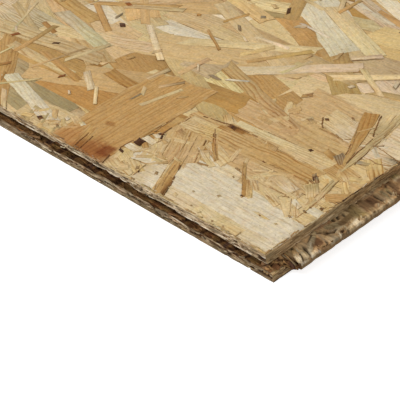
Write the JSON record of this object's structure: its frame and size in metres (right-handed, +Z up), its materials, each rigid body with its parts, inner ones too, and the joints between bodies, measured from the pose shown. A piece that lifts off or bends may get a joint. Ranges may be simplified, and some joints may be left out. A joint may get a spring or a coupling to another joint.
{
  "type": "tongue and groove osb panel",
  "caption": "Flat oriented strand board with a groove along one long and one short side and a tongue along the other two, for floors and roofs.",
  "frame": {"origin": "middle of the underside of the board's overall box, tongues included", "axes": "+X along the board's length towards the short-side tongue, +Y across its width towards the long-side tongue, +Z up through the upper face"},
  "size_m": [2.512, 0.687, 0.015],
  "materials": {
    "strand_board": "matte"
  },
  "bodies": {
    "root": {"osb_panel": "strand_board"}
  },
  "joints": []
}
